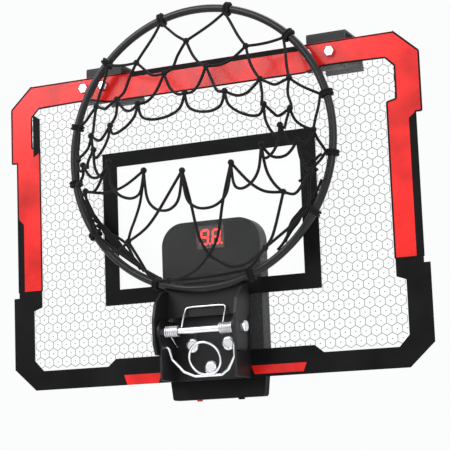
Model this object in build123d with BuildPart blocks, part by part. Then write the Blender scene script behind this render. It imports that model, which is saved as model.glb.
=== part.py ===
"""Over-the-door basketball hoop machine: clear backboard, folding sprung rim, net and score box.

Millimetres. +X is the player's right, -Y points at the player, +Z is up. The origin is the front
top edge of the door that the hooks hang on, midway between the two hooks.
"""
import os

from build123d import *

os.makedirs("parts", exist_ok=True)

# ---------------------------------------------------------------- driving dimensions
board_width = 400.0
board_height = 286.0
board_thickness = 3.0
corner_run = 22.0           # corner chamfer, measured along the top and bottom edges
corner_rise = 20.0          # corner chamfer, measured down the sides
waist_inset = 5.5           # the sides step in between these two heights
waist_top = 71.0
waist_bottom = -57.0

ring_radius = 125.5         # centre line of the ring bar
ring_bar = 7.0              # ring bar diameter
ring_depth = -14.0          # ring plane, in front of the board
ring_clearance = 36.5       # from the hinge axis up to the lowest point of the ring's centre line

pin_depth = -26.0           # hinge axis of the rim
pin_rise = 42.0             # hinge axis, above the board's bottom edge
pin_diameter = 6.0

hook_spacing = 222.0        # between the centres of the two hooks
hook_width = 36.0
hook_rise = 15.0            # hook's top, above the board's top edge
strap_thickness = 2.0
spacer_thickness = 16.0
foam_thickness = 2.0
door_thickness = 40.0       # thickest door that the hooks take
hook_lip = 25.0             # length of the lip behind the door

case_width = 95.0
case_height = 157.0
case_drop = 16.0            # how far the score box hangs below the board
case_depth = 16.0
case_wall = 2.0

bracket_width = 72.0
bracket_sheet = 2.0
bracket_height = 71.0
flange_reach = 31.0

fit_gap = 0.05              # radial clearance of a pin or bolt in its hole
loose_gap = 0.3             # clearance between pieces that only lie beside each other

# ---------------------------------------------------------------- frame
half_width = board_width / 2
half_height = board_height / 2
bottom_edge = -half_height
pin_height = bottom_edge + pin_rise
ring_height = pin_height + ring_clearance + ring_radius
bracket_top = bottom_edge + bracket_height
case_bottom = bottom_edge - case_drop
case_top = case_bottom + case_height
strap_depth = board_thickness + spacer_thickness
door_face = strap_depth + strap_thickness + foam_thickness
board_front = -door_face
board_middle = -(half_height + hook_rise - strap_thickness)


def facing(depth):
    """Drawing plane that faces the player, at this depth behind the board's front face."""
    return Plane(origin=(0, board_front + depth, board_middle), x_dir=(1, 0, 0), z_dir=(0, -1, 0))


def side(x):
    """Drawing plane square to X: depth runs to the right and height runs up."""
    return Plane(origin=(x, board_front, board_middle), x_dir=(0, 1, 0), z_dir=(1, 0, 0))


def level(height):
    """Horizontal drawing plane: X runs to the right and depth runs up."""
    return Plane(origin=(0, board_front, board_middle + height), x_dir=(1, 0, 0), z_dir=(0, 0, 1))


def point(x, depth, height):
    """A point of the model from its place on the board."""
    return (x, board_front + depth, board_middle + height)


def save(builder, name):
    """Label a finished piece and write its file."""
    builder.part.label = name
    export_step(builder.part, f"parts/{name}.step")


# ---------------------------------------------------------------- places that pieces share
hook_bolt_radius = 2.5
hook_bolt_height = half_height - 9.5
hook_bolt_spread = 20.6
hook_bolt_places = [
    (sign * hook_spacing / 2 + end * hook_bolt_spread / 2, hook_bolt_height)
    for sign in (-1, 1)
    for end in (-1, 1)
]

bracket_bolt_radius = 3.0
bracket_bolt_spread = bracket_width - 37.6
upper_bolts = bottom_edge + 30.5
lower_bolt = bottom_edge + 10.3
bracket_bolt_places = [
    (-bracket_bolt_spread / 2, upper_bolts),
    (bracket_bolt_spread / 2, upper_bolts),
    (0.0, lower_bolt),
]

case_screw_radius = 1.4
case_screw_length = 10.0
circuit_screw_length = 6.0
screw_boss_radius = 3.2
case_screw_inset = 8.0      # from the side of the score box in to its screws
case_screw_x = case_width / 2 - case_screw_inset
case_screw_places = [
    (sign * case_screw_x, height)
    for height in (case_top - 28.0, case_bottom + 23.0)
    for sign in (-1, 1)
]

display_width = 25.0
display_height = 19.0
display_body = 8.0
display_place = (0.0, case_top - 14.7)
window_border = 1.0

case_front_face = board_thickness
case_inside = case_front_face + case_wall
cover_thickness = 2.0
case_split = case_front_face + case_depth - cover_thickness


def board_outline():
    """The stepped octagon of the backboard, as points round its edge."""
    waist = half_width - waist_inset
    right = [
        (half_width - corner_run, half_height),
        (half_width, half_height - corner_rise),
        (half_width, waist_top),
        (waist, waist_top),
        (waist, waist_bottom),
        (half_width, waist_bottom),
        (half_width, corner_rise - half_height),
        (half_width - corner_run, -half_height),
    ]
    left = [(-x, z) for x, z in reversed(right)]
    return right + left


# ---------------------------------------------------------------- backboard
with BuildPart() as backboard_panel:
    with BuildSketch(facing(board_thickness)):
        with BuildLine():
            Polyline(*board_outline(), close=True)
        make_face()
    extrude(amount=board_thickness)
    with BuildSketch(facing(board_thickness)):
        with Locations(*hook_bolt_places):
            Circle(hook_bolt_radius + fit_gap)
        with Locations(*bracket_bolt_places):
            Circle(bracket_bolt_radius + fit_gap)
    extrude(amount=board_thickness, mode=Mode.SUBTRACT)
save(backboard_panel, "backboard_panel")

# ---------------------------------------------------------------- door hooks
spacer_height = 20.0
spacer_bottom = half_height - spacer_height - 0.5
door_top = half_height + hook_rise - strap_thickness
lip_depth = door_face + door_thickness + foam_thickness
lip_flare = 3.0
flare_length = 8.0
strap_bend = 3.0


def hook_profile():
    """Side view of the strap: up the door's face, over its top and down behind it."""
    outside = lip_depth + strap_thickness
    top = door_top + strap_thickness
    lip_end = door_top - hook_lip
    return [
        (strap_depth, spacer_bottom),
        (strap_depth, top),
        (outside, top),
        (outside, lip_end + flare_length),
        (outside + lip_flare, lip_end),
        (lip_depth + lip_flare, lip_end),
        (lip_depth, lip_end + flare_length),
        (lip_depth, door_top),
        (strap_depth + strap_thickness, door_top),
        (strap_depth + strap_thickness, spacer_bottom),
    ]


for sign, hook_name in ((-1, "left_hook"), (1, "right_hook")):
    middle = sign * hook_spacing / 2
    with BuildPart() as hook:
        with BuildSketch(side(middle)):
            with BuildLine():
                Polyline(*hook_profile(), close=True)
            make_face()
        extrude(amount=hook_width / 2, both=True)
        top_edges = hook.edges().filter_by(Axis.X).group_by(Axis.Z)[-1]
        fillet(top_edges, strap_bend)
        with BuildSketch(facing(strap_depth + strap_thickness)):
            with Locations(*[place for place in hook_bolt_places if place[0] * sign > 0]):
                Circle(hook_bolt_radius + fit_gap)
        extrude(amount=strap_thickness, mode=Mode.SUBTRACT)
    save(hook, hook_name)

with BuildPart() as hook_spacers:
    with BuildSketch(facing(strap_depth)):
        with GridLocations(hook_spacing, 0, 2, 1):
            with Locations((0, spacer_bottom + spacer_height / 2)):
                RectangleRounded(hook_width, spacer_height, 3)
        with Locations(*hook_bolt_places):
            Circle(hook_bolt_radius + fit_gap, mode=Mode.SUBTRACT)
    extrude(amount=spacer_thickness)
save(hook_spacers, "hook_spacers")

hex_head_flats = 8.0
hex_head_height = 3.5
with BuildPart() as hook_bolts:
    with BuildSketch(facing(0)):
        with Locations(*hook_bolt_places):
            RegularPolygon(hex_head_flats / 2, 6, major_radius=False)
    extrude(amount=hex_head_height)
    chamfer(hook_bolts.faces().sort_by(Axis.Y)[:4].edges(), 0.6)
    with BuildSketch(facing(strap_depth + strap_thickness)):
        with Locations(*hook_bolt_places):
            Circle(hook_bolt_radius)
    extrude(amount=strap_depth + strap_thickness)
save(hook_bolts, "hook_bolts")

hook_foam_width = 30.0
hook_foam_height = 16.0
hook_foam_drop = 5.0        # from the door's top down to the foam
foam_middle = door_top - hook_foam_drop - hook_foam_height / 2
with BuildPart() as hook_foam:
    for back_of_foam in (door_face, lip_depth):
        with BuildSketch(facing(back_of_foam)):
            with Locations((-hook_spacing / 2, foam_middle), (hook_spacing / 2, foam_middle)):
                RectangleRounded(hook_foam_width, hook_foam_height, 2)
        extrude(amount=foam_thickness)
save(hook_foam, "hook_foam")

door_pad_width = 42.0
door_pad_height = 14.0
door_pad_x = half_width - 50.0
door_pad_middle = bottom_edge + 9.0
door_pad_places = [(-door_pad_x, door_pad_middle), (door_pad_x, door_pad_middle)]
with BuildPart() as door_pads:
    with BuildSketch(facing(door_face)):
        with Locations(*door_pad_places):
            RectangleRounded(door_pad_width, door_pad_height, 2)
    extrude(amount=door_face - board_thickness)
save(door_pads, "door_pads")

# ---------------------------------------------------------------- rim bracket, bolted to the board
pin_radius = pin_diameter / 2
flange_outside = bracket_width / 2
flange_inside = flange_outside - bracket_sheet
flange_eye = 10.0           # radius of the flange round the hinge pin
flange_shoulder = bottom_edge + 29.0    # the flange's front edge is straight below this height
trigger_wire = 2.5
trigger_depth = -24.0
trigger_height = bottom_edge + 28.5

with BuildPart() as rim_bracket:
    with BuildSketch(facing(0)):
        with Locations((0, (bracket_top - half_height) / 2)):
            Rectangle(bracket_width, half_height + bracket_top)
    extrude(amount=bracket_sheet)
    fillet(rim_bracket.edges().filter_by(Axis.Y).group_by(Axis.Z)[-1], 6)
    for inner_face in (flange_inside, -flange_outside):
        with BuildSketch(side(inner_face)):
            with BuildLine():
                Polyline(
                    (-bracket_sheet / 2, -half_height),
                    (-flange_reach, -half_height),
                    (-flange_reach, flange_shoulder),
                    (pin_depth - flange_eye, pin_height),
                    (pin_depth, pin_height + flange_eye),
                    (-bracket_sheet / 2, pin_height + flange_eye),
                    close=True,
                )
            make_face()
            with Locations((pin_depth, pin_height)):
                Circle(flange_eye)
        extrude(amount=bracket_sheet)
    with BuildSketch(side(-flange_outside)):
        with Locations((pin_depth, pin_height)):
            Circle(pin_radius + fit_gap)
        with Locations((trigger_depth, trigger_height)):
            Circle(trigger_wire / 2 + fit_gap)
    extrude(amount=bracket_width, mode=Mode.SUBTRACT)
    with BuildSketch(facing(0)):
        with Locations(*bracket_bolt_places):
            Circle(bracket_bolt_radius + fit_gap)
    extrude(amount=bracket_sheet, mode=Mode.SUBTRACT)
save(rim_bracket, "rim_bracket")

bolt_head_radius = 6.7
bolt_head_height = 4.5
nut_flats = 10.0
nut_height = 5.0
bolt_end = case_inside + nut_height + 1.0
with BuildPart() as bracket_bolts:
    with BuildSketch(facing(-bracket_sheet)):
        with Locations(*bracket_bolt_places):
            Circle(bolt_head_radius)
    extrude(amount=bolt_head_height)
    fillet(bracket_bolts.faces().sort_by(Axis.Y)[:3].edges(), 3.2)
    with BuildSketch(facing(bolt_end)):
        with Locations(*bracket_bolt_places):
            Circle(bracket_bolt_radius)
    extrude(amount=bolt_end + bracket_sheet)
save(bracket_bolts, "bracket_bolts")

with BuildPart() as bracket_nuts:
    with BuildSketch(facing(case_inside + nut_height)):
        with Locations(*bracket_bolt_places):
            RegularPolygon(nut_flats / 2, 6, major_radius=False)
            Circle(bracket_bolt_radius + fit_gap, mode=Mode.SUBTRACT)
    extrude(amount=nut_height)
save(bracket_nuts, "bracket_nuts")

# ---------------------------------------------------------------- folding rim
weld_gap = 0.2
yoke_sheet = 2.5
washer_room = 1.0           # between the bracket's flange and the yoke's ear
yoke_front = ring_depth + ring_bar / 2 + weld_gap
yoke_back = yoke_front + yoke_sheet
ear_inside = flange_outside + washer_room
ear_outside = ear_inside + yoke_sheet
yoke_top = ring_height - ring_radius + 5.0
yoke_bottom = pin_height + flange_eye + 3.0
ear_reach = 11.5            # from the hinge axis forward to the ear's front edge
ear_tail = 20.0             # from the hinge axis down to the ear's end
ear_shoulder = ring_height - ring_radius + 0.5      # the ear stays under the ring bar

with BuildPart() as rim_yoke:
    with BuildSketch(facing(yoke_back)):
        with Locations((0, (yoke_top + yoke_bottom) / 2)):
            Rectangle(2 * ear_outside, yoke_top - yoke_bottom)
    extrude(amount=yoke_sheet)
    for inner_face in (ear_inside, -ear_outside):
        with BuildSketch(side(inner_face)):
            with BuildLine():
                Polyline(
                    (yoke_back, yoke_top),
                    (yoke_back, yoke_bottom),
                    (pin_depth + ear_reach, yoke_bottom - 5),
                    (pin_depth + ear_reach, pin_height - ear_tail + 5),
                    (pin_depth + ear_reach - 4, pin_height - ear_tail),
                    (pin_depth - ear_reach + 4, pin_height - ear_tail),
                    (pin_depth - ear_reach, pin_height - ear_tail + 9),
                    (pin_depth - ear_reach, pin_height + 11),
                    (pin_depth - ear_reach + 4, pin_height + 24),
                    (pin_depth + 5, ear_shoulder - 2),
                    (yoke_front, ear_shoulder),
                    (yoke_front, yoke_top),
                    close=True,
                )
            make_face()
        extrude(amount=yoke_sheet)
    with BuildSketch(side(-ear_outside)):
        with Locations((pin_depth, pin_height)):
            Circle(pin_radius + fit_gap)
    extrude(amount=2 * ear_outside, mode=Mode.SUBTRACT)
save(rim_yoke, "rim_yoke")

with BuildPart() as rim_ring:
    with Locations(facing(ring_depth)):
        with Locations((0, ring_height, 0)):
            Torus(ring_radius, ring_bar / 2)
save(rim_ring, "rim_ring")

bumper_radius = 4.5
bumper_x = flange_inside - 7.0
bumper_places = [(-bumper_x, bottom_edge + 62.0), (bumper_x, bottom_edge + 62.0)]
with BuildPart() as rim_bumpers:
    with BuildSketch(facing(-bracket_sheet)):
        with Locations(*bumper_places):
            Circle(bumper_radius)
    extrude(amount=-yoke_back - bracket_sheet - loose_gap)
save(rim_bumpers, "rim_bumpers")

pin_head_radius = 5.0
pin_head_height = 3.0
pin_end_play = 0.3
pin_cap_wall = 3.0
head_face = ear_outside + pin_end_play
with BuildPart() as hinge_pin:
    with BuildSketch(side(-head_face)):
        with Locations((pin_depth, pin_height)):
            Circle(pin_radius)
    extrude(amount=2 * head_face + pin_cap_wall)
    with BuildSketch(side(-head_face)):
        with Locations((pin_depth, pin_height)):
            Circle(pin_head_radius)
    extrude(amount=-pin_head_height)
    fillet(hinge_pin.faces().sort_by(Axis.X)[0].edges(), 2)
save(hinge_pin, "hinge_pin")

with BuildPart() as pin_cap:
    with BuildSketch(side(head_face)):
        with Locations((pin_depth, pin_height)):
            Circle(pin_head_radius)
    extrude(amount=pin_cap_wall + 1.5)
    fillet(pin_cap.faces().sort_by(Axis.X)[-1].edges(), 1.4)
    with BuildSketch(side(head_face)):
        with Locations((pin_depth, pin_height)):
            Circle(pin_radius + fit_gap)
    extrude(amount=pin_cap_wall + 0.1, mode=Mode.SUBTRACT)
save(pin_cap, "pin_cap")

washer_thickness = 0.8
with BuildPart() as pin_washers:
    for inner_face in (flange_outside + 0.1, -flange_outside - 0.1 - washer_thickness):
        with BuildSketch(side(inner_face)):
            with Locations((pin_depth, pin_height)):
                Circle(pin_head_radius + 2)
                Circle(pin_radius + fit_gap, mode=Mode.SUBTRACT)
        extrude(amount=washer_thickness)
save(pin_washers, "pin_washers")

# ---------------------------------------------------------------- double torsion spring
spring_wire = 1.9
coil_pitch = 1.8
coil_turns = 8
coil_radius = pin_radius + spring_wire / 2 + 0.4
coil_end = flange_inside - 2.0      # middle of the outermost turn, from the middle of the pin
coil_start = coil_end - coil_pitch * (coil_turns - 1)
coil_back = pin_depth + coil_radius
loop_depth = yoke_front - spring_wire / 2 - loose_gap
loop_height = pin_height + 21.5
tail_depth = -bracket_sheet - spring_wire / 2 - loose_gap
tail_height = bottom_edge + 30.0

with BuildPart() as torsion_spring:
    for sign in (-1, 1):
        for turn in range(coil_turns):
            with Locations(side(sign * (coil_start + turn * coil_pitch))):
                with Locations((pin_depth, pin_height, 0)):
                    Torus(coil_radius, spring_wire / 2)
        with BuildLine() as tail_path:
            Line(
                point(sign * coil_end, coil_back, pin_height),
                point(sign * coil_end, tail_depth, tail_height),
            )
        with BuildSketch(Plane(tail_path.line @ 0, z_dir=tail_path.line % 0)):
            Circle(spring_wire / 2)
        sweep(path=tail_path.line)
    with BuildLine() as loop_path:
        FilletPolyline(
            point(-coil_start, coil_back, pin_height),
            point(-coil_start, loop_depth, loop_height),
            point(coil_start, loop_depth, loop_height),
            point(coil_start, coil_back, pin_height),
            radius=3,
        )
    with BuildSketch(Plane(loop_path.line @ 0, z_dir=loop_path.line % 0)):
        Circle(spring_wire / 2)
    sweep(path=loop_path.line)
save(torsion_spring, "torsion_spring")

# ---------------------------------------------------------------- net, as two plain sleeves
net_wall = 2.0
net_top_reach = 32.0        # from the ring plane forward to the upper sleeve's lip
net_top_taper = 8.0
net_bottom_radius = ring_radius * 0.41
net_bottom_length = 16.0
net_droop = ring_radius * 0.48            # the lower sleeve's centre, below the ring's centre
net_bottom_depth = ring_depth - 35.0
net_start_radius = ring_radius - ring_bar / 2 - loose_gap
net_lip_radius = net_droop + net_bottom_radius + loose_gap + net_wall

with BuildPart() as net_top:
    with BuildSketch(side(0)):
        with BuildLine():
            Polyline(
                (ring_depth, ring_height + net_start_radius),
                (ring_depth - net_top_reach, ring_height + net_lip_radius),
                (ring_depth - net_top_reach, ring_height + net_lip_radius - net_wall),
                (ring_depth, ring_height + net_start_radius - net_wall),
                close=True,
            )
        make_face()
    revolve(axis=Axis(point(0, 0, ring_height), (0, 1, 0)))
save(net_top, "net_top")

with BuildPart() as net_bottom:
    with BuildSketch(facing(net_bottom_depth + net_bottom_length / 2)):
        with Locations((0, ring_height - net_droop)):
            Circle(net_bottom_radius)
            Circle(net_bottom_radius - net_wall, mode=Mode.SUBTRACT)
    extrude(amount=net_bottom_length)
save(net_bottom, "net_bottom")

# ---------------------------------------------------------------- score trigger
trigger_bar_depth = -10.0
trigger_bar_height = bottom_edge + 3.4
trigger_loop_radius = 14.6
trigger_loop_wire = 2.2
trigger_loop_lean = 20.0
trigger_leg = [
    (flange_outside + 0.4, trigger_depth, trigger_height),
    (flange_inside - 3.0, trigger_depth, trigger_height),
    (flange_inside - 4.5, -20.0, bottom_edge + 18.0),
    (21.0, -14.5, bottom_edge + 7.5),
    (12.5, trigger_bar_depth, trigger_bar_height),
]
trigger_route = [point(*place) for place in trigger_leg]
trigger_route += [point(-x, depth, height) for x, depth, height in reversed(trigger_leg)]

with BuildPart() as trigger_lever:
    with BuildLine() as lever_path:
        FilletPolyline(*trigger_route, radius=2.4)
    with BuildSketch(Plane(lever_path.line @ 0, z_dir=lever_path.line % 0)):
        Circle(trigger_wire / 2)
    sweep(path=lever_path.line)
    loop_foot = Plane(
        origin=point(0, trigger_bar_depth - 1.6, trigger_bar_height + 0.6),
        x_dir=(1, 0, 0),
        z_dir=(0, -1, 0),
    ).rotated((trigger_loop_lean, 0, 0))
    with Locations(loop_foot):
        with Locations((0, trigger_loop_radius, 0)):
            Torus(trigger_loop_radius, trigger_loop_wire / 2)
save(trigger_lever, "trigger_lever")

switch_width = 6.0
switch_depth = 11.0
switch_height = 9.0
switch_middle = (flange_inside - loose_gap - switch_width / 2, bottom_edge + 22.0)
plunger_radius = 1.2
plunger_tip = -19.4
with BuildPart() as trigger_switch:
    with BuildSketch(facing(-bracket_sheet)):
        with Locations(switch_middle):
            Rectangle(switch_width, switch_height)
    extrude(amount=switch_depth)
    with BuildSketch(facing(-bracket_sheet - switch_depth)):
        with Locations(switch_middle):
            Circle(plunger_radius)
    extrude(amount=-plunger_tip - bracket_sheet - switch_depth)
save(trigger_switch, "trigger_switch")

# ---------------------------------------------------------------- score box behind the board
case_corner = 21.0
case_taper = 4.0            # each side draws in by this much towards the bottom
case_taper_start = case_bottom + 35.0
case_lip_top = bottom_edge + 1.5
case_lip_depth = 9.0        # the lip below the board starts this far back
lip_inside = case_lip_depth + case_wall


def case_outline(inset):
    """Outline of the score box, drawn in from its outside by the inset."""
    side_x = case_width / 2 - inset
    with BuildSketch(mode=Mode.PRIVATE) as outline:
        with BuildLine():
            Polyline(
                (-side_x, case_top - inset),
                (side_x, case_top - inset),
                (side_x, case_taper_start),
                (side_x - case_taper, case_bottom + inset),
                (case_taper - side_x, case_bottom + inset),
                (-side_x, case_taper_start),
                close=True,
            )
        make_face()
        fillet(outline.vertices().group_by(Axis.Y)[-1], case_corner - inset)
        fillet(outline.vertices().group_by(Axis.Y)[0], 2.5)
    return outline.sketch


button_radius = 2.6
button_x = -20.0
slider_x = 20.0
slider_length = 5.0
slider_width = 3.0
slider_travel = 4.0
controls_depth = 14.0
board_post_radius = 3.2
circuit_width = case_width - 29.0
board_post_x = circuit_width / 2 - 5.0
board_post_places = [(-board_post_x, case_top - 28.0), (board_post_x, case_top - 28.0)]
circuit_front = case_inside + display_body + 0.3

with BuildPart() as case_front:
    with BuildSketch(facing(case_split)):
        add(case_outline(0))
    extrude(amount=case_split - case_front_face)
    with BuildSketch(facing(case_lip_depth)):
        with Locations((0, case_lip_top - 50)):
            Rectangle(2 * case_width, 100)
    extrude(amount=case_lip_depth, mode=Mode.SUBTRACT)
    with BuildSketch(facing(case_split)) as hollow:
        add(case_outline(case_wall))
        with Locations((0, case_lip_top + case_wall - 50)):
            Rectangle(2 * case_width, 100, mode=Mode.SUBTRACT)
    extrude(amount=case_split - case_inside, mode=Mode.SUBTRACT)
    with BuildSketch(facing(case_split)) as lip_hollow:
        add(case_outline(case_wall))
        with Locations((0, case_lip_top + case_wall + 100)):
            Rectangle(2 * case_width, 200, mode=Mode.SUBTRACT)
    extrude(amount=case_split - lip_inside, mode=Mode.SUBTRACT)
    with BuildSketch(facing(case_split)):
        with Locations(*case_screw_places):
            Circle(screw_boss_radius)
    extrude(amount=case_split - case_inside)
    with BuildSketch(facing(circuit_front - fit_gap)):
        with Locations(*board_post_places):
            Circle(board_post_radius)
    extrude(amount=circuit_front - fit_gap - case_inside)
    with BuildSketch(facing(case_split)):
        with Locations(*case_screw_places, *board_post_places):
            Circle(case_screw_radius + fit_gap)
    extrude(amount=case_split - case_inside, mode=Mode.SUBTRACT)
    with BuildSketch(facing(case_inside)):
        with Locations(display_place):
            Rectangle(display_width + 2 * window_border, display_height + 2 * window_border)
        with Locations(*bracket_bolt_places):
            Circle(bracket_bolt_radius + fit_gap)
    extrude(amount=case_wall, mode=Mode.SUBTRACT)
    with BuildSketch(level(case_bottom)):
        with Locations((button_x, controls_depth)):
            Circle(button_radius + 0.15)
        with Locations((slider_x + slider_travel / 2, controls_depth)):
            Rectangle(slider_length + slider_travel + 0.6, slider_width + 0.4)
    extrude(amount=case_wall, mode=Mode.SUBTRACT)
save(case_front, "case_front")

battery_diameter = 10.5
battery_length = 44.5
battery_count = 3
battery_pitch = 11.0
tray_wall = 1.5
tray_middle = case_top - 70.0
tray_width = battery_count * battery_pitch + 2 * tray_wall
tray_height = battery_length + 2 * tray_wall + 4.0
hatch_border = 2.0
hatch_width = tray_width + 2 * hatch_border
hatch_height = tray_height + 2 * hatch_border
speaker_radius = 14.0
speaker_middle = case_bottom + 38.0
slot_width = 2.0

with BuildPart() as case_cover:
    with BuildSketch(facing(case_split + cover_thickness)):
        add(case_outline(0))
        with Locations(*case_screw_places):
            Circle(case_screw_radius + fit_gap, mode=Mode.SUBTRACT)
        with Locations((0, tray_middle)):
            Rectangle(hatch_width, hatch_height, mode=Mode.SUBTRACT)
        with Locations((0, speaker_middle)):
            with GridLocations(0, 2 * slot_width, 1, 5):
                SlotOverall(18, slot_width, mode=Mode.SUBTRACT)
    extrude(amount=cover_thickness)
save(case_cover, "case_cover")

with BuildPart() as battery_hatch:
    with BuildSketch(facing(case_split + cover_thickness)):
        with Locations((0, tray_middle)):
            RectangleRounded(hatch_width - 0.6, hatch_height - 0.6, 1)
    extrude(amount=cover_thickness)
    with BuildSketch(facing(case_split + cover_thickness)):
        with Locations((0, tray_middle + hatch_height / 2 - 7)):
            with GridLocations(0, 2.4, 1, 3):
                Rectangle(14, 1.0)
    extrude(amount=0.6, mode=Mode.SUBTRACT)
save(battery_hatch, "battery_hatch")

screw_head_radius = 2.6
with BuildPart() as case_screws:
    with BuildSketch(facing(case_split + cover_thickness + 1.6)):
        with Locations(*case_screw_places):
            Circle(screw_head_radius)
    extrude(amount=1.6)
    fillet(case_screws.faces().sort_by(Axis.Y)[-4:].edges(), 0.7)
    with BuildSketch(facing(case_split + cover_thickness)):
        with Locations(*case_screw_places):
            Circle(case_screw_radius)
    extrude(amount=case_screw_length)
save(case_screws, "case_screws")

with BuildPart() as battery_tray:
    with BuildSketch(facing(case_split - 0.4)):
        with Locations((0, tray_middle)):
            Rectangle(tray_width, tray_height)
    extrude(amount=case_split - 0.4 - case_inside)
    with BuildSketch(facing(case_split - 0.4)):
        with Locations((0, tray_middle)):
            Rectangle(tray_width - 2 * tray_wall, tray_height - 2 * tray_wall)
    extrude(amount=battery_diameter + 0.2, mode=Mode.SUBTRACT)
save(battery_tray, "battery_tray")

battery_depth = case_split - 0.4 - battery_diameter / 2
contact_room = (tray_height - 2 * tray_wall - battery_length) / 2
with BuildPart() as batteries:
    with BuildSketch(level(tray_middle - battery_length / 2 + 0.8)):
        with Locations((0, battery_depth)):
            with GridLocations(battery_pitch, 0, battery_count, 1):
                Circle(battery_diameter / 2)
    extrude(amount=battery_length - 1.8)
    with BuildSketch(level(tray_middle - battery_length / 2)):
        with Locations((0, battery_depth)):
            with GridLocations(battery_pitch, 0, battery_count, 1):
                Circle(1.9)
    extrude(amount=battery_length)
save(batteries, "batteries")

with BuildPart() as battery_contacts:
    for end in (-1, 1):
        face = tray_middle + end * (battery_length / 2 + contact_room / 2)
        with BuildSketch(level(face - contact_room / 2 + 0.05)):
            with Locations((0, battery_depth)):
                with GridLocations(battery_pitch, 0, battery_count, 1):
                    Circle(2.8)
        extrude(amount=contact_room - 0.1)
save(battery_contacts, "battery_contacts")

with BuildPart() as display_window:
    with BuildSketch(facing(case_inside)):
        with Locations(display_place):
            Rectangle(
                display_width + 2 * window_border - 0.2,
                display_height + 2 * window_border - 0.2,
            )
    extrude(amount=case_wall - 0.2)
save(display_window, "display_window")

with BuildPart() as digit_display:
    with BuildSketch(facing(case_inside + 0.1 + display_body)):
        with Locations(display_place):
            Rectangle(display_width, display_height)
    extrude(amount=display_body)
save(digit_display, "digit_display")

circuit_thickness = 1.6
circuit_middle = case_top - 21.0
with BuildPart() as circuit_board:
    with BuildSketch(facing(circuit_front + circuit_thickness)):
        with Locations((0, circuit_middle)):
            RectangleRounded(circuit_width, 34, 2)
        with Locations(*board_post_places):
            Circle(case_screw_radius + fit_gap, mode=Mode.SUBTRACT)
    extrude(amount=circuit_thickness)
save(circuit_board, "circuit_board")

with BuildPart() as circuit_screws:
    with BuildSketch(facing(circuit_front + circuit_thickness + 1.4)):
        with Locations(*board_post_places):
            Circle(screw_head_radius)
    extrude(amount=1.4)
    with BuildSketch(facing(circuit_front + circuit_thickness)):
        with Locations(*board_post_places):
            Circle(case_screw_radius)
    extrude(amount=circuit_screw_length)
save(circuit_screws, "circuit_screws")

chip_x = display_width / 2 + 6.5
chip_places = [(-chip_x, case_top - 12.0), (chip_x, case_top - 15.0)]
with BuildPart() as sound_chips:
    with BuildSketch(facing(circuit_front)):
        with Locations(*chip_places):
            Rectangle(8, 10)
    extrude(amount=2)
save(sound_chips, "sound_chips")

speaker_thickness = 4.6
with BuildPart() as speaker:
    with BuildSketch(facing(case_split - 0.2)):
        with Locations((0, speaker_middle)):
            Circle(speaker_radius)
    extrude(amount=1.2)
    with BuildSketch(facing(case_split - 1.4)):
        with Locations((0, speaker_middle)):
            Circle(speaker_radius - 3)
    extrude(amount=speaker_thickness - 1.2)
save(speaker, "speaker")

# ---------------------------------------------------------------- button and power switch
button_travel = 1.0
button_proud = 1.6
control_floor = case_bottom + case_wall + button_travel + 1.0
with BuildPart() as reset_button:
    with BuildSketch(level(case_bottom - button_proud)):
        with Locations((button_x, controls_depth)):
            Circle(button_radius)
    extrude(amount=control_floor - button_travel - 0.1 - case_bottom + button_proud)
    fillet(reset_button.faces().sort_by(Axis.Z)[0].edges(), 0.8)
save(reset_button, "reset_button")

with BuildPart() as power_slider:
    with BuildSketch(level(case_bottom - button_proud)):
        with Locations((slider_x, controls_depth)):
            Rectangle(slider_length, slider_width)
    extrude(amount=control_floor - 0.1 - case_bottom + button_proud)
    fillet(power_slider.edges().filter_by(Axis.Y).group_by(Axis.Z)[0], 0.6)
save(power_slider, "power_slider")

with BuildPart() as button_switch:
    with BuildSketch(level(control_floor)):
        with Locations((button_x, controls_depth)):
            Rectangle(7, 5.4)
    extrude(amount=4)
save(button_switch, "button_switch")

with BuildPart() as power_switch:
    with BuildSketch(level(control_floor)):
        with Locations((slider_x + slider_travel / 2, controls_depth)):
            Rectangle(12, 5.4)
    extrude(amount=4)
save(power_switch, "power_switch")

with BuildPart() as control_board:
    with BuildSketch(level(control_floor + 4)):
        with Locations((0, controls_depth)):
            Rectangle(case_width - 31.0, 5.6)
    extrude(amount=1.2)
save(control_board, "control_board")
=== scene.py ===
"""Looks for the basketball hoop machine: print, cord net, spring, digits, pads and finishes."""
import math
import random

import bpy
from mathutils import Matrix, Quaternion, Vector


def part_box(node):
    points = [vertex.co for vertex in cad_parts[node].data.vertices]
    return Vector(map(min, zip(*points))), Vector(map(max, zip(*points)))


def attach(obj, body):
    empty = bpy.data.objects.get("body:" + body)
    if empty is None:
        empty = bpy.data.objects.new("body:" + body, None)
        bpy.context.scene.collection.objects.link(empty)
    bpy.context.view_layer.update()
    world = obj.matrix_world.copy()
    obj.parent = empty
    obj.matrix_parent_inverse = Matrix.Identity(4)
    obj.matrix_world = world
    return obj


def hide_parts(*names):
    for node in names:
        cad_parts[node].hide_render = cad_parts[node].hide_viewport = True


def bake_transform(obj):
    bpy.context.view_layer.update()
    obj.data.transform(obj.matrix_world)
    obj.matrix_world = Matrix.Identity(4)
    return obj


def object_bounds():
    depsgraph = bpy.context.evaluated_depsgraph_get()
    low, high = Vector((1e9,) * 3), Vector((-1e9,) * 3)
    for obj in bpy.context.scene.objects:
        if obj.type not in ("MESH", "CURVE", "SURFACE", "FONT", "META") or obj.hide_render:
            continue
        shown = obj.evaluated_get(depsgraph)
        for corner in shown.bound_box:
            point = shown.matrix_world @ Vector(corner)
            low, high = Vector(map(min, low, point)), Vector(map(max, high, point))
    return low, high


bl_info = {
    "name": "Basketball Hoop Machine",
    "version": (1, 0, 0),
    "blender": (4, 5, 0),
    "location": "View3D > Sidebar > Hoop",
    "description": "Dresses the hoop's frame with its print, net, spring, digits and finishes",
    "category": "Object",
}

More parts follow.
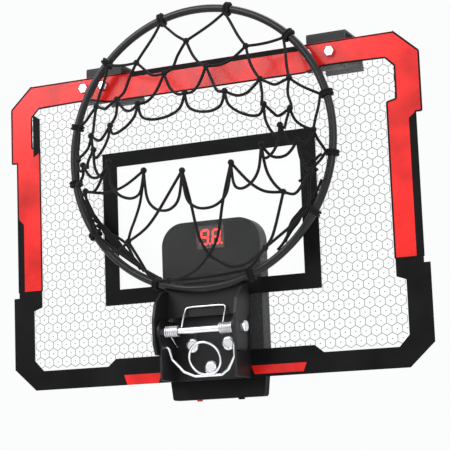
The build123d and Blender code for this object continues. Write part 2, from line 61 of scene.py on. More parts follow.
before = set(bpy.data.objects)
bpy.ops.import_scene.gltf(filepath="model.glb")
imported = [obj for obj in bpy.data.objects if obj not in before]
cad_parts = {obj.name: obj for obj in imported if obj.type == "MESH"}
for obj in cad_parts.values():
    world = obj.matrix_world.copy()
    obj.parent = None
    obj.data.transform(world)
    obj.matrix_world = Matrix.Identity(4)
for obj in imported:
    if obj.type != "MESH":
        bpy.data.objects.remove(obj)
cad_low, cad_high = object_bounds()
board_low, board_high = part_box("backboard_panel")
ring_low, ring_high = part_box("rim_ring")
display_low, display_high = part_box("digit_display")
pin_low, pin_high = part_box("hinge_pin")
spring_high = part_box("torsion_spring")[1]

MM = 0.001
FRONT = board_low.y
MIDDLE = (board_low.z + board_high.z) / 2
HALF_WIDTH = (board_high.x - board_low.x) / 2 / MM
HALF_HEIGHT = (board_high.z - board_low.z) / 2 / MM
INK = 0.02  # thickness of a printed line, mm


def place(x, depth, height):
    """A point from its place on the board in millimetres: across, behind the front face, up."""
    return Vector((x * MM, FRONT + depth * MM, MIDDLE + height * MM))


# ---------------------------------------------------------------- modelling helpers
def deselect():
    """Leave edit mode and select nothing."""
    if bpy.context.object and bpy.context.object.mode != "OBJECT":
        bpy.ops.object.mode_set(mode="OBJECT")
    bpy.ops.object.select_all(action="DESELECT")


def pick(piece):
    """Make one piece the only selected and the active one."""
    deselect()
    piece.select_set(True)
    bpy.context.view_layer.objects.active = piece


def settle(piece, name, material):
    """Name a finished piece, put its place into its mesh and give it its material."""
    pick(piece)
    piece.name = name
    bpy.ops.object.transform_apply(location=True, rotation=True, scale=True)
    piece.data.materials.clear()
    piece.data.materials.append(material)
    return piece


def merge(pieces, name, material):
    """Join pieces into one."""
    deselect()
    for piece in pieces:
        piece.select_set(True)
    bpy.context.view_layer.objects.active = pieces[0]
    bpy.ops.object.join()
    return settle(bpy.context.object, name, material)


def weld(piece):
    """Turn plates that meet on whole faces into one closed shell."""
    pick(piece)
    bpy.ops.object.mode_set(mode="EDIT")
    bpy.ops.mesh.select_mode(type="FACE")
    bpy.ops.mesh.select_all(action="SELECT")
    bpy.ops.mesh.remove_doubles(threshold=0.005 * MM)
    bpy.ops.mesh.select_all(action="DESELECT")
    bpy.ops.mesh.select_interior_faces()
    bpy.ops.mesh.delete(type="FACE")
    bpy.ops.object.mode_set(mode="OBJECT")
    return piece


def copy_of(piece, matrix=None):
    """A copy with its own mesh."""
    twin = piece.copy()
    twin.data = piece.data.copy()
    if matrix is not None:
        twin.data.transform(matrix)
    bpy.context.collection.objects.link(twin)
    return twin


def plate(outline, depth, thickness):
    """A thin flat plate with this outline on the board, thickness towards the door."""
    deselect()
    bpy.ops.mesh.primitive_circle_add(vertices=len(outline), radius=0.1, fill_type="NGON")
    piece = bpy.context.object
    for vertex, (x, height) in zip(piece.data.vertices, outline):
        vertex.co = place(x, depth, height)
    bpy.ops.object.mode_set(mode="EDIT")
    bpy.ops.mesh.select_all(action="SELECT")
    bpy.ops.mesh.extrude_region_move(TRANSFORM_OT_translate={"value": (0, thickness * MM, 0)})
    bpy.ops.mesh.select_all(action="SELECT")
    bpy.ops.mesh.normals_make_consistent(inside=False)
    bpy.ops.object.mode_set(mode="OBJECT")
    return piece


def ink_line(route, width, depth):
    """Thin strips of ink along a route on the board."""
    strips = []
    for (x0, z0), (x1, z1) in zip(route, route[1:]):
        length = math.hypot(x1 - x0, z1 - z0)
        across = ((z0 - z1) / length * width / 2, (x1 - x0) / length * width / 2)
        corners = [
            (x0 + across[0], z0 + across[1]),
            (x1 + across[0], z1 + across[1]),
            (x1 - across[0], z1 - across[1]),
            (x0 - across[0], z0 - across[1]),
        ]
        strips.append(plate(corners, depth, INK))
    return strips


def tube(routes, thickness, cyclic=False):
    """Round cord or wire along smooth routes, as one mesh."""
    curve = bpy.data.curves.new("route", "CURVE")
    curve.dimensions = "3D"
    curve.bevel_depth = thickness / 2
    curve.bevel_resolution = 2
    curve.use_fill_caps = True
    for route in routes:
        spline = curve.splines.new("NURBS")
        spline.points.add(len(route) - 1)
        for point, where in zip(spline.points, route):
            point.co = (*where, 1)
        spline.order_u = 3
        spline.use_endpoint_u = not cyclic
        spline.use_cyclic_u = cyclic
        spline.resolution_u = 5
    piece = bpy.data.objects.new("route", curve)
    bpy.context.collection.objects.link(piece)
    pick(piece)
    bpy.ops.object.convert(target="MESH")
    bpy.ops.object.shade_smooth()
    return bpy.context.object


# ---------------------------------------------------------------- finishes
def finish(name, colour, rough, metal=0.0, grain=600.0, bump=0.05, wear=0.0, stretch=(1, 1, 1),
           alpha=1.0, glow=0.0, coat=0.0, sheen=0.0, mottle=0.12, shine=0.5):
    """A procedural finish: slightly uneven colour and gloss, a fine grain and, if asked, wear."""
    material = bpy.data.materials.new(name)
    material.use_nodes = True
    nodes = material.node_tree.nodes
    link = material.node_tree.links.new
    shader = nodes["Principled BSDF"]
    shader.inputs["Metallic"].default_value = metal
    shader.inputs["Alpha"].default_value = alpha
    shader.inputs["Coat Weight"].default_value = coat
    shader.inputs["Specular IOR Level"].default_value = shine
    shader.inputs["Sheen Weight"].default_value = sheen
    where = nodes.new("ShaderNodeTexCoord")
    turn = nodes.new("ShaderNodeMapping")
    turn.inputs["Scale"].default_value = stretch
    link(where.outputs["Object"], turn.inputs["Vector"])
    cloud = nodes.new("ShaderNodeTexNoise")
    cloud.inputs["Scale"].default_value = 28.0
    cloud.inputs["Detail"].default_value = 6.0
    link(turn.outputs["Vector"], cloud.inputs["Vector"])
    tint = nodes.new("ShaderNodeValToRGB")
    tint.color_ramp.elements[0].position = 0.3
    tint.color_ramp.elements[1].position = 0.7
    tint.color_ramp.elements[0].color = (*[c * (1 - mottle) for c in colour], 1)
    tint.color_ramp.elements[1].color = (*[min(1, c * (1 + mottle) + 0.002) for c in colour], 1)
    link(cloud.outputs["Fac"], tint.inputs["Fac"])
    fine = nodes.new("ShaderNodeTexNoise")
    fine.inputs["Scale"].default_value = grain
    fine.inputs["Detail"].default_value = 3.0
    link(turn.outputs["Vector"], fine.inputs["Vector"])
    if wear:
        patch = nodes.new("ShaderNodeTexNoise")
        patch.inputs["Scale"].default_value = 90.0
        patch.inputs["Detail"].default_value = 8.0
        link(where.outputs["Object"], patch.inputs["Vector"])
        edge = nodes.new("ShaderNodeValToRGB")
        edge.color_ramp.elements[0].position = 0.66
        edge.color_ramp.elements[1].position = 0.74
        edge.color_ramp.elements[1].color = (wear, wear, wear, 1)
        link(patch.outputs["Fac"], edge.inputs["Fac"])
        worn = nodes.new("ShaderNodeMixRGB")
        worn.inputs["Color2"].default_value = (*[min(1, c + 0.18) for c in colour], 1)
        link(edge.outputs["Color"], worn.inputs["Fac"])
        link(tint.outputs["Color"], worn.inputs["Color1"])
        link(worn.outputs["Color"], shader.inputs["Base Color"])
    else:
        link(tint.outputs["Color"], shader.inputs["Base Color"])
    gloss = nodes.new("ShaderNodeMapRange")
    gloss.inputs["To Min"].default_value = max(0.02, rough - 0.08)
    gloss.inputs["To Max"].default_value = min(1.0, rough + 0.08)
    link(cloud.outputs["Fac"], gloss.inputs["Value"])
    link(gloss.outputs["Result"], shader.inputs["Roughness"])
    relief = nodes.new("ShaderNodeBump")
    relief.inputs["Strength"].default_value = bump
    relief.inputs["Distance"].default_value = 0.0004
    link(fine.outputs["Fac"], relief.inputs["Height"])
    link(relief.outputs["Normal"], shader.inputs["Normal"])
    if glow:
        shader.inputs["Emission Color"].default_value = (*colour, 1)
        shader.inputs["Emission Strength"].default_value = glow
    return material


def clad(node, material):
    """Give one of the frame's nodes its finish."""
    for material_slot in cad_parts[node].material_slots:
        material_slot.link = "OBJECT"
        material_slot.material = material


# ---------------------------------------------------------------- sizes and colours
class HoopPrint(bpy.types.PropertyGroup):
    red: bpy.props.FloatVectorProperty(
        name="Border red", description="Colour of the printed border",
        subtype="COLOR", default=(0.6, 0.008, 0.006))
    cell: bpy.props.FloatProperty(
        name="Cell pitch", description="Distance between hexagons", default=0.0091, unit="LENGTH")
    line: bpy.props.FloatProperty(
        name="Line width", description="Width of the hexagon lines", default=0.00045, unit="LENGTH")
    grey: bpy.props.FloatVectorProperty(
        name="Line grey", description="Colour of the hexagon lines",
        subtype="COLOR", default=(0.07, 0.07, 0.075))


class HoopNet(bpy.types.PropertyGroup):
    cord: bpy.props.FloatProperty(
        name="Cord", description="Diameter of the net's cord", default=0.0026, unit="LENGTH")
    meshes: bpy.props.IntProperty(
        name="Loops", description="Loops of the net round the ring", default=12, min=8, max=16)
    colour: bpy.props.FloatVectorProperty(
        name="Cord colour", description="Colour of the net",
        subtype="COLOR", default=(0.006, 0.006, 0.007))


class HoopStage(bpy.types.PropertyGroup):
    distance: bpy.props.FloatProperty(
        name="Distance", description="Camera to board", default=1.3136, unit="LENGTH")
    azimuth: bpy.props.FloatProperty(
        name="Azimuth", description="Camera round to the right", default=math.radians(23.53),
        subtype="ANGLE")
    elevation: bpy.props.FloatProperty(
        name="Elevation", description="Camera above level", default=math.radians(-9.16),
        subtype="ANGLE")
    roll: bpy.props.FloatProperty(
        name="Roll", description="Camera turned about its view", default=math.radians(-2.13),
        subtype="ANGLE")
    lens: bpy.props.FloatProperty(
        name="Lens", description="Focal length in millimetres", default=119.6)


# ---------------------------------------------------------------- outlines of the print
WAIST = HALF_WIDTH - 5.5  # half the width where the outline steps in
STEP_TOP, STEP_BOTTOM = 71, -57  # where it steps in and out again
SPLIT = -52  # where the red border meets the black one
CORNER_RUN, CORNER_RISE = 22, 20  # the cut corners
FIELD_SIDE, FIELD_CORNER_SIDE = 170, 178.5  # the honeycomb's edges
FIELD_TOP_MIDDLE, FIELD_TOP = 118, 122
FIELD_BOTTOM_MIDDLE, FIELD_BOTTOM = -119, -125.5
UPPER_OUTSIDE = [
    (HALF_WIDTH - CORNER_RUN, HALF_HEIGHT), (HALF_WIDTH, HALF_HEIGHT - CORNER_RISE),
    (HALF_WIDTH, STEP_TOP), (WAIST, STEP_TOP), (WAIST, SPLIT)]
UPPER_INSIDE = [
    (FIELD_SIDE, SPLIT), (FIELD_SIDE, 82), (FIELD_CORNER_SIDE, 84), (FIELD_CORNER_SIDE, 113),
    (170.5, 121), (134, FIELD_TOP), (114, FIELD_TOP), (97, FIELD_TOP_MIDDLE)]
LOWER_OUTSIDE = [
    (WAIST, SPLIT), (WAIST, STEP_BOTTOM), (HALF_WIDTH, STEP_BOTTOM),
    (HALF_WIDTH, CORNER_RISE - HALF_HEIGHT), (HALF_WIDTH - CORNER_RUN, -HALF_HEIGHT)]
LOWER_INSIDE = [
    (95, FIELD_BOTTOM_MIDDLE), (103, FIELD_BOTTOM), (169.5, FIELD_BOTTOM),
    (FIELD_CORNER_SIDE, -116), (FIELD_CORNER_SIDE, -70), (FIELD_SIDE, -67), (FIELD_SIDE, SPLIT)]
RED_ACCENTS = (
    [(-87, -134), (-50, -134), (-53, -143), (-84, -143)],
    [(36, -133), (87, -133), (84, -140.5), (39, -140.5)])
BLACK_ACCENTS = (
    [(-75, 138), (-72, 142.6), (92, 142.6), (95, 138)],
    [(188.5, -52), (194.3, -52), (194.3, 70.5), (188.5, 66)],
    [(-194.3, -52), (-188.5, -52), (-188.5, 12), (-194.3, 18)],
    [(-177, 75), (-169.5, 79), (-169.5, 111), (-177, 115)])
TARGET_OUTER = [(-104, -71), (104, -71), (104, 69), (-104, 69)]
TARGET_INNER = [(-89, -57), (89, -57), (89, 55.5), (-89, 55.5)]
AREA = (-0.06, 0.03)  # depth and thickness of a printed area, mm
ACCENT = (-0.1, 0.03)  # the same for an accent printed over it
OUTLINE_DEPTH = -0.13  # outlines are printed last
OUTLINE_WIDTH, TOP_LINE_WIDTH = 1.6, 1.2


def mirrored(points):
    """The same outline on the other half of the board, walked back."""
    return [(-x, z) for x, z in reversed(points)]


def in_field(x, z):
    """Whether a hexagon line at this place is printed."""
    across = abs(x)
    if across < 97 and -64 < z < 62.5:  # it stops under the target band
        return False
    if across < 47.5 and z < -60:  # and over the case
        return False
    side = FIELD_CORNER_SIDE if z > 83 or z < -68 else FIELD_SIDE
    top = FIELD_TOP_MIDDLE if across < 100 else FIELD_TOP
    bottom = FIELD_BOTTOM_MIDDLE if across < 98 else FIELD_BOTTOM
    off_corners = across + z < 292 and across - z < 295
    return across < side and bottom < z < top and off_corners


class HOOP_OT_board_print(bpy.types.Operator):
    """Print the border, its outlines and accents, and the target"""
    bl_idname = "hoop.board_print"
    bl_label = "Board print"

    def execute(self, context):
        look = context.scene.hoop_print
        red = finish("border_red_ink", look.red, 0.24,
                     grain=900, bump=0.02, mottle=0.4, shine=0.3, alpha=0.96)
        black = finish("border_black_ink", (0.004, 0.004, 0.0045), 0.5,
                       grain=900, bump=0.03, mottle=0.3, shine=0.06)
        upper = UPPER_OUTSIDE + UPPER_INSIDE
        reds = [plate(mirrored(UPPER_OUTSIDE) + upper + mirrored(UPPER_INSIDE), *AREA)]
        reds += [plate(outline, *ACCENT) for outline in RED_ACCENTS]
        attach(merge(reds, "border_red", red), "board")
        lower = LOWER_OUTSIDE + mirrored(LOWER_OUTSIDE) + mirrored(LOWER_INSIDE) + LOWER_INSIDE
        blacks = [plate(lower, *AREA)]
        blacks += [plate(outline, *ACCENT) for outline in BLACK_ACCENTS]
        below_top = [(-97, FIELD_TOP_MIDDLE), (97, FIELD_TOP_MIDDLE)]
        for route in (upper, mirrored(upper), below_top):
            blacks += ink_line(route, OUTLINE_WIDTH, OUTLINE_DEPTH)
        top_end, top_edge = HALF_WIDTH - CORNER_RUN, HALF_HEIGHT - 0.8
        top = [(-top_end, top_edge), (top_end, top_edge)]
        blacks += ink_line(top, TOP_LINE_WIDTH, OUTLINE_DEPTH)
        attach(merge(blacks, "border_black", black), "board")
        band = []
        for side in range(4):
            after = (side + 1) % 4
            corners = [TARGET_OUTER[side], TARGET_OUTER[after]]
            corners += [TARGET_INNER[after], TARGET_INNER[side]]
            band.append(plate(corners, *AREA))
        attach(weld(merge(band, "target_band", black)), "board")
        return {"FINISHED"}


class HOOP_OT_honeycomb(bpy.types.Operator):
    """Print the hexagon lines and their dots"""
    bl_idname = "hoop.honeycomb"
    bl_label = "Honeycomb"

    def execute(self, context):
        look = context.scene.hoop_print
        pitch = look.cell
        deselect()
        bpy.ops.mesh.primitive_circle_add(vertices=6, radius=pitch / math.sqrt(3), fill_type="NGON")
        cell = context.object
        bpy.ops.object.mode_set(mode="EDIT")
        bpy.ops.mesh.select_all(action="SELECT")
        bpy.ops.mesh.inset(thickness=look.line / 2)
        bpy.ops.mesh.delete(type="FACE")
        bpy.ops.mesh.primitive_circle_add(vertices=6, radius=look.line * 1.2, fill_type="NGON")
        bpy.ops.mesh.select_all(action="SELECT")
        bpy.ops.transform.rotate(value=math.radians(90), orient_axis="X", center_override=(0, 0, 0))
        bpy.ops.object.mode_set(mode="OBJECT")
        rows = pitch * math.sqrt(3) / 2
        across = int(2 * HALF_WIDTH * MM / pitch) + 2
        up = int(2 * HALF_HEIGHT * MM / rows / 2) + 2
        lift = [abs(vertex.co.z) for vertex in cell.data.vertices]
        if max(lift) < pitch / 4:
            raise RuntimeError("the cell was not turned upright")
        second = copy_of(cell)
        for vertex in second.data.vertices:
            vertex.co.x += pitch / 2
            vertex.co.z += rows
        ink_finish = finish("hexagon_ink", look.grey, 0.6, grain=1200, bump=0.02, shine=0.1)
        cell = merge([cell, second], "honeycomb", ink_finish)
        for count, offset in ((across, (pitch, 0, 0)), (up, (0, 0, 2 * rows))):
            array = cell.modifiers.new("rows", "ARRAY")
            array.use_relative_offset = False
            array.use_constant_offset = True
            array.count = count
            array.constant_offset_displace = offset
            bpy.ops.object.modifier_apply(modifier=array.name)
        for vertex in cell.data.vertices:
            vertex.co.x -= across * pitch / 2
            vertex.co.z -= up * rows
            vertex.co = Vector((vertex.co.x, FRONT - 0.03 * MM, MIDDLE + vertex.co.z))
        for item in cell.data.vertices:
            item.select = False
        for item in cell.data.edges:
            item.select = False
        for face in cell.data.polygons:
            face.select = not in_field(face.center.x / MM, (face.center.z - MIDDLE) / MM)
        bpy.ops.object.mode_set(mode="EDIT")
        bpy.ops.mesh.select_mode(type="FACE")
        bpy.ops.mesh.delete(type="FACE")
        bpy.ops.mesh.select_all(action="SELECT")
        bpy.ops.mesh.remove_doubles(threshold=INK * MM)
        bpy.ops.object.mode_set(mode="OBJECT")
        ink = cell.modifiers.new("ink", "SOLIDIFY")
        ink.thickness = INK * MM
        ink.offset = 0
        bpy.ops.object.modifier_apply(modifier=ink.name)
        bpy.ops.object.mode_set(mode="EDIT")
        bpy.ops.mesh.select_all(action="SELECT")
        bpy.ops.mesh.normals_make_consistent(inside=False)
        bpy.ops.object.mode_set(mode="OBJECT")
        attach(cell, "board")
        return {"FINISHED"}


# ---------------------------------------------------------------- net
RING_BAR = 3.5  # radius of the ring's bar, mm
RING_DEPTH = -14  # place of its centre line in front of the board, mm
RING_CENTRE = Vector((0, FRONT + RING_DEPTH * MM, (ring_low.z + ring_high.z) / 2))
RIM = (ring_high.x - ring_low.x) / 2 - RING_BAR * MM  # radius of its centre line
ROWS = (0.0, 0.27, 0.54, 0.8)  # share of the way from the ring to the end loops, row by row
LOOP_SHAPE = (
    (0, 0), (0.03, 0.4), (0.1, 0.8), (0.3, 1), (0.5, 1.04), (0.7, 1), (0.9, 0.8),
    (0.97, 0.4), (1, 0))
NET_SEED = 7


def low_side(angle):
    """0 on the ring's upper half, rising to 1 at its lowest place."""
    return max(0.0, -math.sin(angle))


def outward(angle):
    """Direction from the ring's centre at this angle."""
    return Vector((math.cos(angle), 0, math.sin(angle)))


def net_point(angle, share):
    """A place in the net: share 0 is on the ring and 1 is on the end loops, drooping as it goes."""
    radius = (ring_high.x - ring_low.x) / 2 / MM - RING_BAR - 4.2
    height = (ring_low.z + ring_high.z) / 2 / MM - MIDDLE / MM
    wave = math.sin(angle * 3.0 + 1.3) * 4.0 + math.sin(angle * 5.0 + share * 9.0) * 3.0
    end_x = 8 + 76 * math.cos(angle)
    end_z = height + 2 + 20 * math.sin(angle)
    loose = low_side(angle)
    gathered = share ** (1 + 1.5 * loose) if share < 0.6 else share + 0.12 * loose
    lean = 0.35 if share else 0.0
    start = angle + (0.42 + 1.3 * share * (1 - share)) * math.cos(angle - lean) * loose
    x = (1 - gathered) * radius * math.cos(start) + gathered * end_x
    x += wave * share * (1 - share) * 3
    z = (1 - gathered) * (height + radius * math.sin(start)) + gathered * end_z
    z -= 26 * share * (1 - share) * (0.5 + 0.3 * loose)
    depth = -18.4 - 48 * share ** 0.9 + 4 * math.sin(angle * 7.0 + share * 4.0) * share
    return place(x, depth, z)


def sagging(a, b, slack, bow):
    """Route of a cord between two knots, bowed down by its slack."""
    route = []
    for step in range(5):
        t = step / 4
        point = a.lerp(b, t)
        point.z -= 4 * t * (1 - t) * slack * MM
        point.x += math.sin(t * math.pi * 2) * bow * MM
        point.y -= math.sin(t * math.pi) * abs(bow) * 0.5 * MM
        route.append(point)
    return route


def hanging_loop(a, b, drop):
    """Route of a cord that hangs from two knots in a deep round loop."""
    route = []
    for across, down in LOOP_SHAPE:
        point = a.lerp(b, across)
        point.z -= down * drop * MM
        point.y -= down * 2 * MM
        route.append(point)
    return route


def mesh_cords(count, chance):
    """Cords and knots of the net's rows and of its end loops."""
    routes = []
    knots = []
    step = 2 * math.pi / count
    for row in range(len(ROWS) - 1):
        for index in range(count):
            start = index + 0.5 + 0.5 * (row % 2)
            upper = net_point(start * step, ROWS[row])
            for side in (-0.5, 0.5):
                angle = (start + side) * step
                lower = net_point(angle, ROWS[row + 1])
                slack, bow = 1.5, 0.6
                if row:
                    slack = 3 + 12 * low_side(angle) * chance.random() + 3 * row
                    bow = chance.uniform(-3, 3)
                routes.append(sagging(upper, lower, slack, bow))
            if row:
                knots.append(upper)
    last = 0.5 + 0.5 * ((len(ROWS) - 1) % 2)
    for index in range(count):
        a = net_point((index + last) * step, ROWS[-1])
        b = net_point((index + last + 1) * step, ROWS[-1])
        knots.append(a)
        drop = 12 + 20 * low_side((index + last + 0.5) * step) + 6 * chance.random()
        routes.append(hanging_loop(a, b, drop))
    return routes, knots


def slack_cords(chance):
    """Slack cords bunched inside the ring's lower left and lower right, level with its bar."""
    routes = []
    for first, final, strands in ((-2.9, -1.95, 6), (-0.35, -0.95, 3)):
        for strand in range(strands):
            away = strand / strands
            begin = first + away * (final - first) * 0.35
            end = final + away * (first - final) * 0.2
            route = []
            for part in range(8):
                angle = begin + (end - begin) * part / 7
                inside = 5.1 + (3 + 9 * away + chance.uniform(-2, 2)) * math.sin(math.pi * part / 7)
                back = Vector((0, chance.uniform(0.4, 1.6) * MM, 0))
                route.append(RING_CENTRE + outward(angle) * (RIM - inside * MM) + back)
            routes.append(route)
    return routes


def loose_ends(chance):
    """Short cord ends that stick out of two knots near the ring's lower right, and the knots."""
    routes = []
    knots = []
    for angle in (-0.42, -0.56):
        start = net_point(angle, 0.0) + Vector((-7, -7, 5)) * MM
        for way in (Vector((9, -2, 4)), Vector((-6, -1, 9)), Vector((-8, -3, -5))):
            routes.append(sagging(start, start + way * MM, 1, chance.uniform(0.5, 1.5)))
        knots.append(start)
    return routes, knots


def knot_coils(knots, cord, chance):
    """Two small turns of cord at each knot."""
    deselect()
    bpy.ops.mesh.primitive_torus_add(
        major_radius=cord * 0.62, minor_radius=cord * 0.5, major_segments=9, minor_segments=6)
    coil = bpy.context.object
    bpy.ops.object.shade_smooth()
    coils = []
    for knot in knots:
        for lean in (0.3, 1.7):
            tilt = lean + chance.uniform(-0.4, 0.4)
            twist = Quaternion((1, 0.4, 0.2), tilt).to_matrix().to_4x4()
            twist.translation = knot
            coils.append(copy_of(coil, twist))
    bpy.data.objects.remove(coil)
    return coils


def ring_wraps(count, cord):
    """Pairs of turns that tie the net's top to the ring's bar."""
    wraps = []
    step = 2 * math.pi / count
    for index in range(count):
        angle = (index + 0.5) * step
        angle += 0.42 * math.cos(angle) * low_side(angle)
        centre = RING_CENTRE + outward(angle) * RIM
        along = Vector((-math.sin(angle), 0, math.cos(angle)))
        for wind in (-1.4, 1.4):
            loop = []
            for part in range(8):
                turn = part * math.pi / 4
                reach = outward(angle) * math.cos(turn) + Vector((0, 1, 0)) * math.sin(turn)
                loop.append(centre + along * wind * MM + reach * 5.5 * MM)
            wraps.append(tube([loop], cord, cyclic=True))
    return wraps


class HOOP_OT_net(bpy.types.Operator):
    """Knot the cord net that drapes from the ring"""
    bl_idname = "hoop.net"
    bl_label = "Cord net"

    def execute(self, context):
        look = context.scene.hoop_net
        chance = random.Random(NET_SEED)
        routes, knots = mesh_cords(look.meshes, chance)
        routes += slack_cords(chance)
        ends, end_knots = loose_ends(chance)
        black = finish("braided_cord", look.colour, 0.78,
                       grain=1500, bump=0.5, sheen=0.05, mottle=0.3, shine=0.1)
        pieces = [tube(routes + ends, look.cord)]
        pieces += knot_coils(knots + end_knots, look.cord, chance)
        pieces += ring_wraps(look.meshes, look.cord)
        net = merge(pieces, "cord_net", black)
        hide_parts("net_top", "net_bottom")
        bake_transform(net)
        return {"FINISHED"}


# ---------------------------------------------------------------- spring
WIRE = 1.9 * MM
COIL_RADIUS = 4.35 * MM
COIL_LENGTH = 12.6 * MM
COILS, COIL_STEPS = 7, 12
LOOP_RISE = 21.5 * MM  # the middle loop's top above the pin
LOOP_DEPTH = 11.75 * MM  # its distance from the board
LOOP_CORNER = 2 * MM


class HOOP_OT_spring(bpy.types.Operator):
    """Wind the double torsion spring on the hinge pin"""
    bl_idname = "hoop.spring"
    bl_label = "Torsion spring"

    def execute(self, context):
        axis_y = (pin_low.y + pin_high.y) / 2
        axis_z = (pin_low.z + pin_high.z) / 2
        outer = spring_high.x - WIRE / 2
        inner = outer - COIL_LENGTH
        steps = COILS * COIL_STEPS
        routes = []
        for side in (-1, 1):
            helix = []
            for part in range(steps + 1):
                turn = part * math.tau / COIL_STEPS
                across = inner + (outer - inner) * part / steps
                helix.append(Vector((
                    side * across,
                    axis_y + COIL_RADIUS * math.cos(turn),
                    axis_z + COIL_RADIUS * math.sin(turn))))
            tail_end = place(side * outer / MM, -3.2, -HALF_HEIGHT + 30)
            helix += [helix[-1].lerp(tail_end, 0.5), tail_end]
            routes.append(helix)
        top = axis_z + LOOP_RISE
        loop_y = FRONT - LOOP_DEPTH
        start_y = axis_y + COIL_RADIUS
        half_y = (start_y + loop_y) / 2
        half_z = (axis_z + top) / 2
        routes.append([
            Vector((-inner, start_y, axis_z)), Vector((-inner, half_y, half_z)),
            Vector((-inner, loop_y, top - LOOP_CORNER)),
            Vector((-inner + LOOP_CORNER, loop_y, top)), Vector((0, loop_y, top)),
            Vector((inner - LOOP_CORNER, loop_y, top)), Vector((inner, loop_y, top - LOOP_CORNER)),
            Vector((inner, half_y, half_z)), Vector((inner, start_y, axis_z))])
        steel = finish("spring_wire", (0.62, 0.62, 0.64), 0.24,
                       metal=1.0, grain=900, bump=0.1, stretch=(8, 1, 1))
        spring = settle(tube(routes, WIRE), "wound_spring", steel)
        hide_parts("torsion_spring")
        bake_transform(spring)
        return {"FINISHED"}


# ---------------------------------------------------------------- display
DIGITS = (-6.1, 5.1)  # the two digits' places across the display, mm
BAR_RISE = 6.2  # from the middle bar to the top and bottom ones
BAR_REACH = 3.4  # from the middle bar's centre to the upright ones
BAR_HALF_THICKNESS = 0.75
BAR_THICKNESS = 0.05  # towards the door
DIGIT_LEAN = 0.1
DOT_RADIUS = 0.8


class HOOP_OT_digits(bpy.types.Operator):
    """Light the two seven-bar digits of the score display"""
    bl_idname = "hoop.digits"
    bl_label = "Score digits"

    def execute(self, context):
        glow = finish("lit_bar", (1.0, 0.02, 0.01), 0.4, grain=800, bump=0.02, glow=5.0)
        depth = (display_low.y - FRONT) / MM - 0.07
        middle = ((display_low.z + display_high.z) / 2 - MIDDLE) / MM
        bars = []

        def bar(x, z, long, upright):
            half, thick = long / 2, BAR_HALF_THICKNESS
            ends = [(-half, 0), (-half + thick, thick), (half - thick, thick),
                    (half, 0), (half - thick, -thick), (-half + thick, -thick)]
            points = [(b, a) if upright else (a, b) for a, b in ends]
            outline = [(x + a + (z + b) * DIGIT_LEAN, middle + z + b) for a, b in points]
            bars.append(plate(outline, depth, BAR_THICKNESS))

        turns = [part * math.pi / 4 for part in range(8)]
        for digit in DIGITS:
            for level in (-BAR_RISE, 0, BAR_RISE):
                bar(digit, level, 6.0, False)
            for side in (-BAR_REACH, BAR_REACH):
                for level in (-BAR_RISE / 2, BAR_RISE / 2):
                    bar(digit + side, level, 5.4, True)
            dot = [(digit + 5.0 + math.cos(turn) * DOT_RADIUS,
                    middle - BAR_RISE + math.sin(turn) * DOT_RADIUS) for turn in turns]
            bars.append(plate(dot, depth, BAR_THICKNESS))
        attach(merge(bars, "score_digits", glow), "board")
        return {"FINISHED"}


# ---------------------------------------------------------------- foam pads
DOOR_PAD_WIDTH, HOOK_PAD_WIDTH = 42 * MM, 30 * MM
HOOK_PAD_THICKNESS = 0.002


class HOOP_OT_pads(bpy.types.Operator):
    """Shape the foam pads that meet the door"""
    bl_idname = "hoop.pads"
    bl_label = "Foam pads"

    def execute(self, context):
        foam = finish("closed_cell_foam", (0.03, 0.03, 0.032), 0.92,
                      grain=1100, bump=0.7, mottle=0.3)
        door_low, door_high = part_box("door_pads")
        hook_low, hook_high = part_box("hook_foam")
        blocks = {"door_pad_foam": [], "hook_pad_foam": []}
        for side in (-1, 1):
            blocks["door_pad_foam"].append((
                (side * (door_high.x - 0.021), DOOR_PAD_WIDTH),
                (door_low.y, door_high.y), (door_low.z, door_high.z)))
            for low in (hook_low.y, hook_high.y - HOOK_PAD_THICKNESS):
                blocks["hook_pad_foam"].append((
                    (side * (hook_high.x - 0.015), HOOK_PAD_WIDTH),
                    (low, low + HOOK_PAD_THICKNESS), (hook_low.z, hook_high.z)))
        for name, places in blocks.items():
            made = []
            for (x, width), (y0, y1), (z0, z1) in places:
                deselect()
                bpy.ops.mesh.primitive_cube_add(size=1)
                block = context.object
                bpy.ops.object.mode_set(mode="EDIT")
                bpy.ops.mesh.select_all(action="SELECT")
                bpy.ops.mesh.bevel(offset=0.06, segments=3, affect="EDGES")
                bpy.ops.object.mode_set(mode="OBJECT")
                for vertex in block.data.vertices:
                    vertex.co = Vector((
                        x + vertex.co.x * width,
                        (y0 + y1) / 2 + vertex.co.y * (y1 - y0),
                        (z0 + z1) / 2 + vertex.co.z * (z1 - z0)))
                bpy.ops.object.shade_smooth_by_angle(angle=math.radians(40))
                made.append(block)
            pad = merge(made, name, foam)
            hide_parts("door_pads" if name.startswith("door") else "hook_foam")
            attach(pad, "board")
        return {"FINISHED"}


